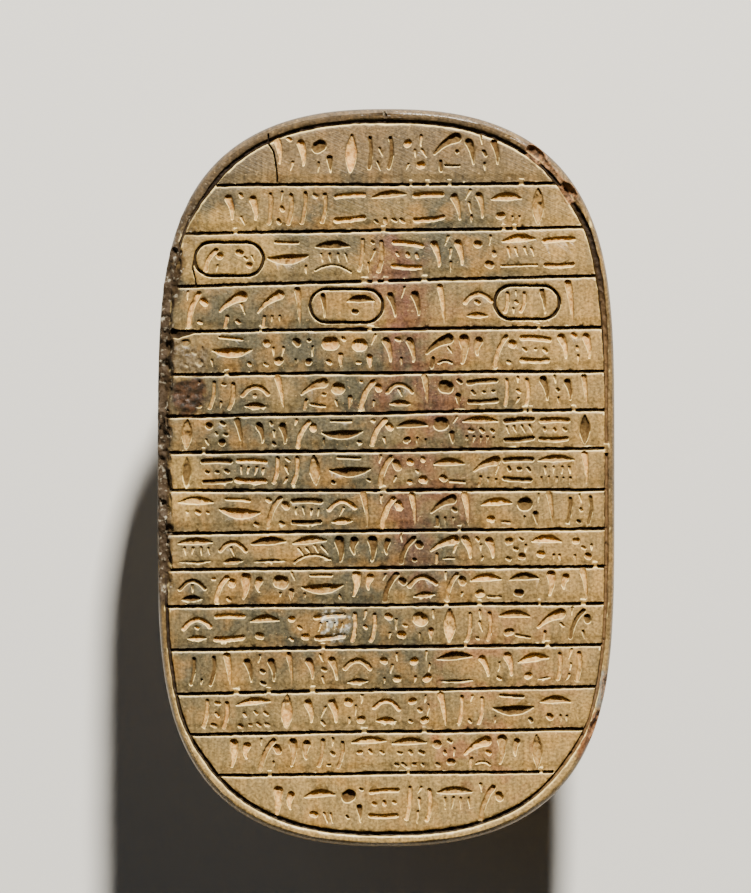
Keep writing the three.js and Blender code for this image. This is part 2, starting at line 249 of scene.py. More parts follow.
# --- What is cut into the face ---
MAP_STEP = 0.05
MAP_X = np.arange(-WIDTH / 2, WIDTH / 2, MAP_STEP)
MAP_Y = np.arange(-LENGTH / 2, LENGTH / 2, MAP_STEP)
DEPTH = np.zeros((len(MAP_Y), len(MAP_X)), np.float32)  # how deep the face is cut
FILL = np.zeros_like(DEPTH)  # how pale the dust in each cut is, from 0 to 1
WORN = np.zeros_like(DEPTH)  # how far eroded patches have sunk

# The hand's wobble, added to every cut's place, and the unevenness of every cut's depth.
GRID = np.stack(np.broadcast_arrays(MAP_X[None, :], MAP_Y[:, None], 0.0), -1)
WOBBLE_X = (MAP_X[None, :] + 0.05 * noise(GRID, 0.8, 1)).astype(np.float32)
WOBBLE_Y = (MAP_Y[:, None] + 0.045 * noise(GRID, 0.8, 2)).astype(np.float32)
ROUGH = (1 + 0.22 * noise(GRID, 0.55, 3, 2)).astype(np.float32)


def window(x0, x1, y0, y1):
    """The part of the maps between these places, as slices of rows and of columns."""
    return slice(*np.searchsorted(MAP_Y, [y0, y1])), slice(*np.searchsorted(MAP_X, [x0, x1]))


def cut(points, widths, depth, wall=3.0, fill=0.0):
    """Cuts a groove along points into the depth map, shallower where it is narrower. wall is the
    steepness of its sides: 1 for a V, more for a flat floor. fill is how pale its dust is."""
    points = np.asarray(points, float)
    widths = np.broadcast_to(widths, len(points))
    for (px, py), (qx, qy), pw, qw in zip(points, points[1:], widths, widths[1:]):
        reach = max(pw, qw) / 2 + 0.2
        (x0, x1), (y0, y1) = sorted([px, qx]), sorted([py, qy])
        part = window(x0 - reach, x1 + reach, y0 - reach, y1 + reach)
        x, y = WOBBLE_X[part] - px, WOBBLE_Y[part] - py
        dx, dy = qx - px, qy - py
        along = np.clip((x * dx + y * dy) / max(dx * dx + dy * dy, 1e-9), 0, 1)
        radius = (pw + (qw - pw) * along) / 2
        off = np.hypot(x - along * dx, y - along * dy) / radius
        deep = depth * (2 * radius / widths.max()) ** 0.6 * ROUGH[part]
        made = deep * (1 - np.minimum(off, 1) ** wall)
        here = DEPTH[part]
        FILL[part][made > here] = fill
        np.maximum(here, made, out=here)


TAPERS = {
    "bar": lambda t: np.ones_like(t),
    "lens": lambda t: 0.25 + 0.75 * np.sin(np.pi * t),
    "drop": lambda t: 1 - 0.72 * t,
}


def bevelled(points, widths, depth, bevel=0.16, fill=0.0):
    """Cuts a steep-sided groove whose upper edges are worn to a slope."""
    cut(points, np.asarray(widths) + 2 * bevel, 1.1 * bevel, wall=1.2, fill=fill)
    cut(points, widths, depth, wall=3.5, fill=fill)


def bowed(x0, y0, x1, y1, bow, t):
    """Points at shares t of a line whose middle stands bow to the left of a straight one."""
    dx, dy = x1 - x0, y1 - y0
    length = max(hypot(dx, dy), 1e-6)
    lift = 4 * bow * t * (1 - t)
    return np.stack([x0 + dx * t - lift * dy / length, y0 + dy * t + lift * dx / length], 1)


def gouge(taper, x0, y0, x1, y1, width, bow, fill):
    """Cuts one stroke from x0, y0 to x1, y1."""
    t = np.linspace(0, 1, 8 if bow or taper != "bar" else 2)
    points = bowed(x0, y0, x1, y1, bow, t)
    bold = min(width, 1.5)
    bevelled(points, width * TAPERS[taper](t), 0.17 + 0.33 * bold, 0.05 + 0.04 * bold, fill)


# Signs that spell nothing: each sign's width, and its bold gouges round its middle as
# (taper, x0, y0, x1, y1, width, bow). Small marks fill the room that they leave.
SIGNS = [
    (4.2, [("drop", 1.6, 1.5, -1.5, -0.3, 1.5, -0.3), ("bar", -0.6, -0.9, -0.7, -2.0, 0.55, 0)]),
    (4.4, [("bar", -1.9, 1.3, 1.9, 1.4, 0.8, 0.1), ("bar", -1.9, -1.4, 1.8, -1.3, 0.8, -0.1)]),
    (4.6, [("lens", -2.1, 0.8, 2.1, 1.0, 1.25, 0.4), ("bar", -1.0, -1.1, -0.6, -1.1, 1.0, 0)]),
    (3.4, [("bar", -0.8, 0.8, -0.4, 0.8, 1.9, 0), ("drop", 0.9, -0.5, 1.0, -2.0, 0.9, 0)]),
    (6.2, [("lens", -2.8, 0.1, 2.8, 0.2, 1.5, -0.4), ("bar", -1.7, 1.8, 1.4, 1.6, 0.5, 0)]),
    (2.2, [("drop", -0.4, 2.0, 0.1, -2.0, 1.0, 0.12)]),
    (4.0, [("drop", -1.0, 1.5, -1.2, -1.5, 1.5, 0.2), ("drop", 1.0, 1.2, 0.9, -0.5, 1.2, -0.2)]),
    (4.2, [("bar", -1.3, 1.6, -1.7, -1.7, 0.65, 0.2), ("bar", 1.5, 1.6, 1.1, -1.7, 0.65, 0.3)]),
    (4.0, [("bar", -1.8, 0.1, 1.8, 0.2, 0.7, 1.2), ("lens", -1.4, -1.5, 1.4, -1.4, 1.0, 0.1)]),
    (5.2, [("lens", -2.4, 1.2, 2.4, 1.4, 1.2, 0.3)]),
    (2.8, [("lens", 0.0, 2.0, 0.0, -2.0, 1.7, 0)]),
    (3.6, [("bar", -0.9, 1.1, -0.7, 1.1, 1.1, 0), ("bar", 0.9, -1.2, 1.1, -1.2, 1.1, 0)]),
    (3.2, [("bar", -1.1, -1.9, 0.5, 1.7, 0.8, 0.4), ("bar", 1.1, 0.9, 1.3, 0.6, 1.1, 0)]),
    (5.2, [("drop", -1.8, 1.2, -1.2, -1.2, 1.2, 0.2), ("drop", 1.6, 1.2, 2.1, -1.2, 1.2, 0.2)]),
]


def free_stretches(width, gouges, y):
    """The parts of a sign's width at y, most of a millimetre or more, that its bold gouges leave free."""
    x = np.arange(-width / 2 + 0.15, width / 2, 0.1)
    free = np.ones(len(x), bool)
    for _, *ends, thick, bow in gouges:
        line_x, line_y = bowed(*ends, bow, np.linspace(0, 1, 20)).T
        gap = np.hypot(x[:, None] - line_x, 0.8 * (y - line_y))
        free &= gap.min(1) > thick / 2 + 0.42
    edges = np.flatnonzero(np.diff(np.concatenate([[0], free, [0]])))
    return [(x[a], x[b - 1]) for a, b in edges.reshape(-1, 2) if x[b - 1] - x[a] > 0.5]


def small_marks(width, gouges):
    """Fine strokes in a sign's free room, one kind of mark along each free stretch."""
    marks = []
    for y in (1.5, 0.0, -1.5):
        for left, right in free_stretches(width, gouges, y):
            middle, long = (left + right) / 2, right - left
            kinds = ["ticks", "slants", "pits", "pits", "none"]
            if long > 1.8 and y:
                kinds = ["ticks", "slants", "bar", "lens", "pits", "arch", "none"]
            kind = RNG.choice(kinds)
            count = max(1, int(long / (1.25 if kind == "pits" else 0.95)))
            spots = middle + (np.arange(count) - (count - 1) / 2) * long / count
            lean = RNG.uniform(-0.35, 0.35) if kind == "slants" else 0
            if kind in ("ticks", "slants"):
                tall = RNG.uniform(0.4, 0.62)
                marks += [("drop", x + lean, y + tall, x - lean, y - tall, 0.46, 0) for x in spots]
            elif kind == "pits":
                for x in spots:
                    marks.append(("bar", x - 0.12, y + 0.1, x + 0.12, y - 0.1, RNG.uniform(0.45, 0.7), 0))
            elif kind != "none":
                bow = {"bar": 0.0, "lens": RNG.uniform(-0.2, 0.2), "arch": 0.18 * long}[kind]
                marks.append(("lens" if kind == "lens" else "bar", left, y, right, y, 0.42, bow))
    return marks


SIGN_GAP = 0.8
SIGN_TALL = 5.4  # the height of row that SIGNS are drawn for
ROW_TALLEST = 7.2  # signs grow no taller in a higher row
ROW_MARGIN = 1.2
END_ROW_HALF = 17
FRAMES = [(2, -28.5, -18.3), (3, -11.3, -0.5), (3, 16.2, 25.8)]  # row, left, right
FRAME_HEIGHT = 5
FRAMED_SCALE = (0.9, 0.82)  # across and along, of the signs inside a frame
SIGN_SCALE = 1.05  # across, of all others

BORDER_WIDTH, BORDER_DEPTH = 0.78, 0.7
RULE_WIDTH, RULE_DEPTH = 0.6, 0.6
FRAME_WIDTH, FRAME_DEPTH = 0.56, 0.5
RULE_BEVEL = 0.13


def numbers(state):
    """Repeatable numbers from 0 to 1, the same as the solid's."""
    while True:
        state = state * 16807 % 2147483647
        yield state / 2147483647


def make_rules():
    """The ruled lines as (y, slope), from the top down."""
    heights = FIRST_RULE_Y - np.cumsum([0, *RULE_STEPS])
    return [(y, tan(radians(tilt))) for y, tilt in zip(heights, RULE_TILTS)]


def make_rows(rules):
    """The rows between the ruled lines as (y, slope, half the length that signs fill, height)."""
    end = LENGTH / 2 - BORDER_INSET
    edges = [(end, 0), *rules, (-end, 0)]
    rows = []
    for i, ((over, over_slope), (under, under_slope)) in enumerate(zip(edges, edges[1:])):
        half = half_width_at(max(abs(over), abs(under)), BORDER_INSET) - ROW_MARGIN
        if i in (0, len(edges) - 2):
            half = END_ROW_HALF
        tall = min(over - under, ROW_TALLEST)
        rows.append(((over + under) / 2, (over_slope + under_slope) / 2, half, tall))
    return rows


def stretches(row, half):
    """The parts of a row that signs fill, beside and inside its frames."""
    start = -half
    for _, left, right in (frame for frame in FRAMES if frame[0] == row):
        yield start, left - 0.5
        yield left + 1.1, right - 1.1
        start = right + 0.5
    yield start, half


def filled(source, left, right):
    """Signs picked to fill a stretch, evenly spaced, as (sign, x)."""
    picked = []
    room = right - left
    while fitting := [sign for sign in SIGNS if sign[0] <= room]:
        picked.append(fitting[int(next(source) * len(fitting))])
        room -= picked[-1][0] + SIGN_GAP
    gap = SIGN_GAP + (room + SIGN_GAP) / max(1, len(picked) - 1)
    x = left
    for sign in picked:
        yield sign, x + sign[0] / 2
        x += sign[0] + gap


def cut_sign(sign, x, y, across, along):
    """Cuts one sign, scaled across and along the face's length, a little out of true as by hand."""
    width, gouges = sign
    gouges = gouges + small_marks(width, gouges)
    turn = radians(RNG.normal(0, 2.0))
    x += RNG.normal(0, 0.08)
    y += RNG.normal(0, 0.08)
    c, s = cos(turn), sin(turn)
    fill = RNG.choice([0.15, 0.5, 0.75, 0.95])  # from dark dust to pale

    def turned(px, py):
        return x + across * (c * px - s * py), y + along * (s * px + c * py)

    for taper, *ends, width, bow in gouges:
        x0, y0, x1, y1 = np.array(ends) + RNG.normal(0, 0.07, 4)
        gouge(taper, *turned(x0, y0), *turned(x1, y1), width * RNG.uniform(0.88, 1.08) * across, bow, fill)


def bridge(x, y):
    """Dust that nearly fills a ruled line at one place."""
    wide = RNG.uniform(0.2, 0.5)
    rows, columns = window(x - 2 * wide, x + 2 * wide, y - 0.7, y + 0.7)
    near = np.exp(-(((MAP_X[columns] - x) / wide) ** 4)).astype(np.float32)
    DEPTH[rows, columns] *= 1 - 0.8 * near


def cut_border():
    """Cuts the border groove: widest at the upper right, and narrow along the rest of both sides."""
    edge, normals = outline(260)
    x, y = edge.T
    beside = smooth(46, 36, np.abs(y))
    right = smooth(20, 26, x) * beside * (0.12 - 0.5 * smooth(12, 26, y))
    left = smooth(-20, -26, x) * beside * (0.12 + 0.2 * smooth(-22, -12, y))
    border = edge - normals * border_inset(y)[:, None]
    widths = BORDER_WIDTH - right - left + 0.08 * noise(np.pad(border, ((0, 0), (0, 1))), 3, 5)
    border, widths = np.vstack([border, border[:1]]), np.append(widths, widths[0])
    cut(border, widths + 0.8, 0.14, wall=1.6)
    bevelled(border, widths, BORDER_DEPTH)


def cut_rule(y, slope):
    """Cuts one ruled line, with a worn shoulder above it, and lets dust bridge it here and there."""
    half = half_width_at(abs(y) + 0.4, border_inset(y))
    x = np.linspace(-half, half, int(half / 0.4))
    line = np.stack([x, y + slope * x + 0.09 * noise(at(x, y, 0.0), 9, 4)], 1)
    widths = RULE_WIDTH + 0.07 * noise(at(x, y, 9.0), 2.5, 6)
    cut(line + [0, 0.5], widths + 1.6, 0.2, wall=1.5)
    bevelled(line, widths, RULE_DEPTH, RULE_BEVEL)
    for k in RNG.choice(len(x), RNG.integers(1, 5)):
        bridge(*line[k])


def cut_frame(y, slope, left, right):
    """Cuts one long rounded frame."""
    middle, radius = (left + right) / 2, FRAME_HEIGHT / 2
    turn = 2 * np.pi * (np.arange(49) + 0.5) / 48
    x = middle + np.sign(np.cos(turn)) * ((right - left) / 2 - radius) + radius * np.cos(turn)
    line = np.stack([x, y + middle * slope + radius * np.sin(turn)], 1)
    bevelled(line, FRAME_WIDTH + 0.1 * noise(at(x, y, 5.0), 2.0, 7), FRAME_DEPTH, RULE_BEVEL)


def cut_row(row, y, slope, half, tall):
    """Cuts one row of signs. Every second stretch of it is inside a frame."""
    source = numbers(123457 * (row + 1))
    for k, stretch in enumerate(stretches(row, half)):
        across, along = FRAMED_SCALE if k % 2 else (SIGN_SCALE, tall / SIGN_TALL)
        for sign, x in filled(source, *stretch):
            cut_sign(sign, x, y + x * slope, across, along)


def cut_face():
    """Cuts the border, the ruled lines, the frames and the rows of signs into the depth map."""
    cut_border()
    rules = make_rules()
    for rule in rules:
        cut_rule(*rule)
    rows = make_rows(rules)
    for row, left, right in FRAMES:
        y, slope, *_ = rows[row]
        cut_frame(y, slope, left, right)
    for row, measures in enumerate(rows):
        cut_row(row, *measures)
    wear_face()


# Eroded patches: middle (x, y), half sizes, depth, how coarse their pits are, and how much of the cuts
# they have worn away.
PATCHES = [
    (-29.5, 18.2, 3.4, 2.4, 0.16, 0.5, 0.5),
    (-29.6, 12.3, 2.6, 2.4, 0.24, 0.7, 1.0),
    (-30.0, -1.5, 2.0, 5.5, 0.12, 0.7, 0.4),
    (-7.3, -22.0, 2.0, 2.2, 0.06, 0.4, 0.3),
    (25.0, 44.0, 1.2, 4.0, 0.10, 0.6, 0.0),
]

# A wedge torn at a rule's end and two cracks at the upper left, as (points, widths, depth, wall).
TEARS = [
    ([(-31.9, 21.6), (-31, 21.3), (-28.4, 21.6)], [1.7, 1.5, 0.4], 0.75, 2),
    ([(-17.6, 51.2), (-17.4, 49.6), (-16.8, 48.5), (-16.4, 46.6), (-16.2, 44.1)], 0.28, 0.6, 3),
    ([(-28.4, 33.6), (-28.8, 31.2), (-28.3, 28.8)], 0.28, 0.5, 3),
]


def wear_face():
    """What time did to the face: tears, cracks, and eroded and pitted patches."""
    for tear in TEARS:
        cut(*tear)
    for x, y, wide, tall, deep, grain, lost in PATCHES:
        off = np.hypot((MAP_X[None, :] - x) / wide, (MAP_Y[:, None] - y) / tall)
        DEPTH[:] = DEPTH * (1 - lost * smooth(1.15, 0.8, off))
        near = np.clip(1.3 - off + 0.3 * noise(GRID, 1.8, 31), 0, 1)
        pits = np.clip(noise(GRID + 5, grain, 32, 2), 0, 1)
        WORN[:] = WORN + near * deep * (0.35 + pits)


def sampled(grid, x, y):
    """The map's values at x, y, evened between its cells."""
    i = np.clip((x - MAP_X[0]) / MAP_STEP, 0, len(MAP_X) - 1.001)
    j = np.clip((y - MAP_Y[0]) / MAP_STEP, 0, len(MAP_Y) - 1.001)
    i0, j0 = i.astype(int), j.astype(int)
    fi, fj = i - i0, j - j0
    low = grid[j0, i0] * (1 - fi) + grid[j0, i0 + 1] * fi
    high = grid[j0 + 1, i0] * (1 - fi) + grid[j0 + 1, i0 + 1] * fi
    return low * (1 - fj) + high * fj


# --- The face and the slab's edge ---
SHEET_STEP = 0.115
PATCH_INSET = 1.45  # the sheet is a patch of rows and columns up to here, and rings outside it
SEAM_W = 5.0  # where the sheet ends on the slab's side
LIP_INSET, LIP_W = 1.1, 1.3  # how far the rounded lip reaches onto the face and down the side


def edge_profile():
    """Rings from the patch to the seam as (inset, w) before carving: a rounded lip, then the side."""
    quarter = np.linspace(0, pi / 2, 15)
    lip = [(LIP_INSET * (1 - sin(a)), LIP_W * (1 - cos(a))) for a in quarter]
    side = [(0.0, w) for w in np.linspace(LIP_W, SEAM_W, 24)[1:]]
    return [(1.36, 0.0), (1.27, 0.0), (1.18, 0.0), *lip, *side]


def make_sheet():
    """The face and the slab's side down to the seam: carved, and open underneath."""
    short, long = 29, 46  # the shares of the outline that the patch's ends and sides take
    scale = ceil(WIDTH / SHEET_STEP * 0.85 / short)
    nx, ny = short * scale, long * scale
    edge, normals = outline(2 * (nx + ny))
    edge, normals = np.roll(edge, ny // 2, 0), np.roll(normals, ny // 2, 0)
    rim = edge - normals * PATCH_INSET
    s = np.linspace(0, 1, nx + 1)[None, :, None]
    t = np.linspace(0, 1, ny + 1)[:, None, None]
    right = rim[: ny + 1][:, None]
    top = rim[ny : ny + nx + 1][::-1][None]
    left = rim[ny + nx : 2 * ny + nx + 1][::-1][:, None]
    bottom = np.vstack([rim[2 * ny + nx :], rim[:1]])[None]
    corners = (1 - t) * ((1 - s) * bottom[:, :1] + s * bottom[:, -1:])
    corners = corners + t * ((1 - s) * top[:, :1] + s * top[:, -1:])
    patch = (1 - s) * left + s * right + (1 - t) * bottom + t * top - corners
    x, y = patch[..., 0].ravel(), patch[..., 1].ravel()
    points = [at(x, y, sampled(DEPTH + WORN, x, y) + sink(x, y))]

    index = np.arange((ny + 1) * (nx + 1)).reshape(ny + 1, nx + 1)
    quads = [np.stack([index[:-1, :-1], index[:-1, 1:], index[1:, 1:], index[1:, :-1]], -1).reshape(-1, 4)]
    ring = np.concatenate([index[:-1, -1], index[-1, :0:-1], index[:0:-1, 0], index[0, :-1]])
    for inset, w in edge_profile():
        start = sum(len(p) for p in points)
        x, y = (edge - normals * inset).T
        carved = sampled(DEPTH + WORN, x, y) * smooth(0.35, 0.6, inset)
        points.append(at(x, y, w + carved))
        following = np.arange(start, start + len(edge))
        quads.append(np.stack([ring, following, np.roll(following, -1), np.roll(ring, -1)], 1))
        ring = following
    return mesh_of(np.vstack(points), np.vstack(quads).tolist())


# --- The beetle ---
DOME_POWER = 2.25
UNDERSIDE = 1.6


def back_height(y):
    reach = np.where(y < 0, 53, 57)
    arch = np.maximum(0, 1 - (np.abs(y) / reach) ** 2.4)
    return MARGIN_W + (CROWN_W - MARGIN_W) * arch ** (1 / 2.1)


def arch_point(y, half, crown, turn):
    rise = np.where(np.sin(turn) > 0, crown - MARGIN_W, UNDERSIDE)
    across = half * signed_power(np.cos(turn), 2 / DOME_POWER)
    return at(across, y, MARGIN_W + rise * signed_power(np.sin(turn), 2 / DOME_POWER))


def wing_cases(y):
    """The wing cases' half width and crown height at y."""
    widest_y, widest = -3, 29.3
    back = np.clip((widest_y - y) / (widest_y - TAIL_Y), 0, 1)
    front = np.clip((y - widest_y) / (WAIST_Y - widest_y), 0, 1)
    ease = 1 - 0.045 * np.clip(1 - (WAIST_Y - y) / 2.5, 0, 1) ** 2
    half = (widest * np.sqrt(1 - back**2.3) - 1.4 * front**2) * ease
    return half, MARGIN_W + (back_height(y) - MARGIN_W) * ease


def prothorax(y):
    along = (y - WAIST_Y) / (COLLAR_Y - WAIST_Y)
    rounding = np.sqrt(np.clip(1 - np.maximum(0, (along - 0.72) / 0.28) ** 2, 0, 1))
    ease = (1 - 0.05 * np.clip(1 - (y - WAIST_Y) / 2.5, 0, 1) ** 2) * (0.62 + 0.38 * rounding)
    return (27.6 - 5.2 * along**2) * ease, MARGIN_W + (back_height(y) - MARGIN_W - 0.7) * ease


def head(y):
    along = np.maximum(0, (y - COLLAR_Y) / (SNOUT_Y - COLLAR_Y))
    return 12.8 - 3 * along, MARGIN_W + 0.5 + 11 * np.sqrt(np.maximum(0, 1 - along**2.6))


def loft(sections):
    """A closed tube through sections, an array of stations by points, with flat ends."""
    stations, count = sections.shape[:2]
    index = np.arange(stations * count).reshape(stations, count)
    faces = [index[0][::-1].tolist(), index[-1].tolist()]
    for a, b in zip(index, index[1:]):
        faces += np.stack([a, np.roll(a, -1), np.roll(b, -1), b], 1).tolist()
    return sections.reshape(-1, 3), faces


def arches(shape, y0, y1, stations=120, count=160):
    t = (1 - np.cos(np.linspace(0, np.pi, stations))) / 2
    y = (y0 + (y1 - y0) * t)[:, None]
    half, crown = shape(y)
    return loft(arch_point(y, half, crown, np.linspace(0, 2 * np.pi, count, endpoint=False)[None]))


def upright(levels):
    """Ovals stacked along w, as (half width, half length, w)."""
    edge, _ = outline(300)
    flat = edge / [WIDTH / 2, LENGTH / 2]
    return loft(np.stack([at(flat[:, 0] * a, flat[:, 1] * b, w) for a, b, w in levels]))


def clypeus():
    """The head's toothed front plate, thinner towards its teeth."""
    teeth, reach, tooth, base_y = 6, 9.6, 1.5, 44.5
    angle = np.linspace(0, np.pi, 20 * teeth + 1)
    out = reach - tooth * (1 - np.abs(np.sin(angle * teeth)) ** 0.6)
    x = np.concatenate([[reach], out * np.cos(angle), [-reach]])
    y = np.concatenate([[-3], out * np.sin(angle), [-3]])
    tilt = tan(radians(5))
    levels = []
    for shrink, w in ((0.87, 18.6), (0.95, 18.2), (1.0, 17.2), (1.0, 16.8), (0.93, 15.8), (0.86, 15.2)):
        levels.append(at(x * shrink, base_y + y * shrink, w - tilt * np.maximum(0, y)))
    return loft(np.stack(levels))


def eye(side):
    turn = np.linspace(0, 2 * np.pi, 40, endpoint=False)[None]
    tip = np.linspace(0.03, np.pi - 0.03, 24)[:, None]
    ball = at(np.sin(tip) * np.cos(turn) * 3.1, -np.cos(tip) * 3.9, 0) * [1, 1, 0]
    ball[..., 2] = np.sin(tip) * np.sin(turn) * 3.1
    return loft(ball + at(12.3 * side, 42.8, 19.5))


# The legs of the +X side as (x, y, w) from hip to foot.
LEGS = [
    [(18, 28, 17), (26, 36, 13), (21.5, 45.5, 10.6), (9.6, 50.6, 9.6)],
    [(22, 17, 17), (29.4, 10, 13.2), (30.3, -3, 10.8), (29.6, -15, 9.4)],
    [(20, -12, 17), (28.4, -24, 13.2), (24.6, -40, 10.8), (8.4, -49.8, 9.4)],
]


def curve_through(points, count):
    """Evenly spaced points on a smooth curve through a few."""
    points = np.asarray(points, float)
    ends = np.vstack([2 * points[0] - points[1], points, 2 * points[-1] - points[-2]])
    dense = []
    for a, b, c, d in zip(ends, ends[1:], ends[2:], ends[3:]):
        t = np.linspace(0, 1, 60, endpoint=False)[:, None]
        dense.append(b + 0.5 * t * (c - a + t * (2 * a - 5 * b + 4 * c - d + t * (3 * (b - c) + d - a))))
    return evenly(np.vstack([*dense, points[-1:]]), count)


def leg_path(leg, side, count):
    return curve_through([(side * x, y, HEIGHT - w) for x, y, w in leg], count)


def leg_solid(leg, side):
    path = leg_path(leg, side, 60)
    along = unit(np.gradient(path, axis=0))
    aside = unit(np.cross([0, 0, 1], along))
    rise = np.cross(along, aside)
    t = np.linspace(0, 1, len(path))
    thick = (2.9 - 1.0 * t) * np.sqrt(1 - np.clip((t - 0.96) / 0.045, 0, 0.98) ** 2)
    turn = np.linspace(0, 2 * np.pi, 28, endpoint=False)
    turn = turn[None, :, None]
    ring = aside[:, None] * np.cos(turn) + 1.15 * rise[:, None] * np.sin(turn)
    return loft(path[:, None] + thick[:, None, None] * ring)


def drilled_core():
    """The stone between slab and beetle, drilled lengthwise."""
    core = upright([(23, 47.5, PLINTH - 1), (23, 47.5, MARGIN_W + 1)])
    turn = np.linspace(0, 2 * np.pi, 48, endpoint=False)
    x, w = DRILL_RADIUS * np.cos(turn), DRILL_W + DRILL_RADIUS * np.sin(turn)
    hole = loft(np.stack([at(x, y, w) for y in (-60, 60)]))
    core, hole = (reworked([mesh_of(*one)], face_outwards) for one in (core, hole))
    drill = placed("drill", hole)
    drilled = modified(core, "BOOLEAN", object=drill, operation="DIFFERENCE", solver="EXACT")
    bpy.data.meshes.remove(hole)
    return drilled


SLAB_EDGE = [(0, 2), (0, 5.4), (0.12, 5.9), (0.45, 6.4), (0.9, 6.8), (1.6, 7.0)]  # (inset, w)
VOXEL = 0.26


def open_seam(bm):
    """Cuts off what is above the seam, which the sheet replaces."""
    seam = (0, 0, HEIGHT - SEAM_W - 0.2)
    everything = [*bm.verts, *bm.edges, *bm.faces]
    bmesh.ops.bisect_plane(bm, geom=everything, plane_co=seam, plane_no=(0, 0, 1), clear_outer=True)


def make_body():
    """The beetle and the lower slab as one skin, cut open at the seam."""
    solids = [
        upright([(WIDTH / 2 - inset, LENGTH / 2 - inset, w) for inset, w in SLAB_EDGE]),
        arches(wing_cases, TAIL_Y + 0.05, WAIST_Y),
        arches(prothorax, WAIST_Y - 0.3, COLLAR_Y),
        arches(head, COLLAR_Y - 4, SNOUT_Y - 0.05),
        clypeus(),
        *(eye(side) for side in (1, -1)),
        *(leg_solid(leg, side) for leg in LEGS for side in (1, -1)),
    ]
    meshes = [mesh_of(*solid) for solid in solids]
    mesh = reworked([*meshes, drilled_core()], face_outwards)
    mesh = modified(mesh, "REMESH", mode="VOXEL", voxel_size=VOXEL)
    return reworked([mesh], open_seam)


# --- Lines carved on the beetle ---
def line_on(shape, route):
    """Points over a shape of arches, through a few given as (y, turn in degrees)."""
    plan = curve_through([(y, radians(turn)) for y, turn in route], 5000)
    half, crown = shape(plan[:, 0])
    return evenly(arch_point(plan[:, 0], half, crown, plan[:, 1]), 500)


# Each line as (shape, width, depth, route), for the +X side. The first is half of the pair in the middle.
LINES = [
    (wing_cases, 1.3, 0.55, [(WAIST_Y - 0.2, 87.5), (-20, 87.5), (TAIL_Y + 1, 87.5)]),
    (wing_cases, 1.4, 0.65, [(WAIST_Y - 0.2, 24), (0, 21), (-25, 21), (-44, 26), (TAIL_Y + 1.2, 60)]),
    (wing_cases, 1.4, 0.65, [(WAIST_Y - 0.2, 44), (WAIST_Y - 7.5, 33), (WAIST_Y - 0.2, 24)]),
    (prothorax, 1.4, 0.65, [(WAIST_Y + 0.5, 22), (27, 20), (34, 26), (36.5, 50), (37, 90)]),
    (head, 1.4, 0.65, [(COLLAR_Y + 0.3, 40), (COLLAR_Y + 4.5, 62), (SNOUT_Y - 3, 86)]),
]
HAIR_STEP, HAIR_DEPTH = 1.3, 0.14  # the fringe of hairs along each leg


def leg_hairs(points, normals, leg, side):
    """How deep the notches between one leg's hairs are at each point."""
    path = leg_path(leg, side, 400)
    far, index = nearest(path, points)
    run = np.linspace(0, 1, len(path))[index]
    length = np.linalg.norm(np.diff(path, axis=0), axis=1).sum()
    comb = np.maximum(0, np.cos(2 * np.pi * run * length / HAIR_STEP)) ** 10
    on_leg = (far < 3.4) * smooth(0.25, 0.45, run) * smooth(0.0, 0.5, np.abs(normals[:, 0]) + 0.2)
    return HAIR_DEPTH * comb * on_leg


def carve_beetle(mesh):
    """Presses the lines and the legs' hairs into the body."""
    points, normals = points_of(mesh), points_of(mesh, "normal")
    push = np.zeros(len(points))
    for (shape, width, depth, route), side in product(LINES, (1, -1)):
        line = line_on(shape, [(y, 90 - side * (90 - turn)) for y, turn in route])
        off = np.minimum(nearest(line, points)[0] / (width / 2), 1)
        push = np.maximum(push, depth * (1 - off**2))
    for leg, side in product(LEGS, (1, -1)):
        push = np.maximum(push, leg_hairs(points, normals, leg, side))
    rough = 0.05 * noise(points, 2.6, 11, 2) + 0.12 * noise(points, 11, 12)
    sides = smooth(HEIGHT - SEAM_W - 0.3, HEIGHT - SEAM_W - 1.6, points[:, 2])
    set_points(mesh, points - normals * ((push + np.maximum(0, rough)) * sides)[:, None])
    store(mesh, "cut", push)


def nearest(line, points):
    """For each point, how far the nearest point of the line is, and which one it is."""
    tree = kdtree.KDTree(len(line))
    for i, spot in enumerate(line):
        tree.insert(spot, i)
    tree.balance()
    low, high = line.min(0) - 4, line.max(0) + 4
    far = np.full(len(points), 99.0)
    index = np.zeros(len(points), int)
    for k in np.flatnonzero(((points > low) & (points < high)).all(1)):
        _, index[k], far[k] = tree.find(points[k])
    return far, index


# --- Wear ---
# Chips knocked out of the slab's lip: centre (x, y, w), half sizes across, along and down, and turn.
CHIPS = [
    (-32.4, 29.5, -0.5, 1.6, 6, 1.7, -9),
    (-33.3, 17, -0.5, 1.7, 9, 1.9, -1),
    (-33.5, 2, -0.4, 1.5, 9, 1.7, 0),
    (-33.4, -12, -0.4, 1.3, 6, 1.4, 1),
    (22.4, 48.4, -0.3, 1.3, 1.7, 1.7, 42),
    (27.3, 42.5, -0.3, 1.2, 1.7, 1.6, 34),
    (24.9, 45.3, -0.3, 0.7, 4.2, 0.6, 40),
    (33.2, -31.5, -0.2, 1.2, 3.2, 1.6, -9),
    (31.6, -37.5, 0, 1.2, 3.8, 1.3, -18),
    (-0.2, 54.1, -0.2, 0.35, 0.8, 0.7, 15),
]


def in_chips(points):
    """For each chip, how far each point is from its middle, as shares of its half sizes."""
    for x, y, w, across, along, down, turn in CHIPS:
        c, s = cos(radians(turn)), sin(radians(turn))
        axes = np.array([[c, s, 0], [-s, c, 0], [0, 0, 1]]) / np.array([[across], [along], [down]])
        yield (points - at(x, y, w)) @ axes.T, down, HEIGHT - w


def raggedness(points):
    return 0.22 * noise(points, 1.6, 21, 3)


